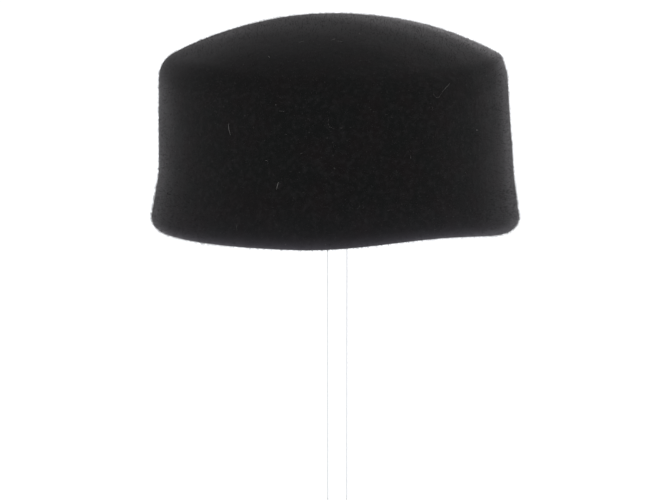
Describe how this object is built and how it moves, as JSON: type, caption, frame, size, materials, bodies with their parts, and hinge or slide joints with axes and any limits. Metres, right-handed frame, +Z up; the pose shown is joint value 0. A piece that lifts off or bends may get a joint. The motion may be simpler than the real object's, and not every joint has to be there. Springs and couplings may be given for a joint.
{
  "type": "felt pillbox hat on a clear display stand",
  "caption": "Black felt pillbox hat with a softly domed crown and a turned-under rim, held up by a clear round stand.",
  "frame": {"origin": "middle of the underside of the stand's base, on the surface that it stands on", "axes": "+Z up along the post, the front of the hat towards -Y, the wearer's left towards +X"},
  "size_m": [0.1782, 0.2122, 0.3069],
  "materials": {
    "black_felt": "matt, with a short soft nap",
    "clear_acrylic": "clear and polished"
  },
  "bodies": {
    "root": {"felt_body": "black_felt", "stand_base": "clear_acrylic", "stand_post": "clear_acrylic", "stand_cap": "clear_acrylic"}
  },
  "joints": []
}
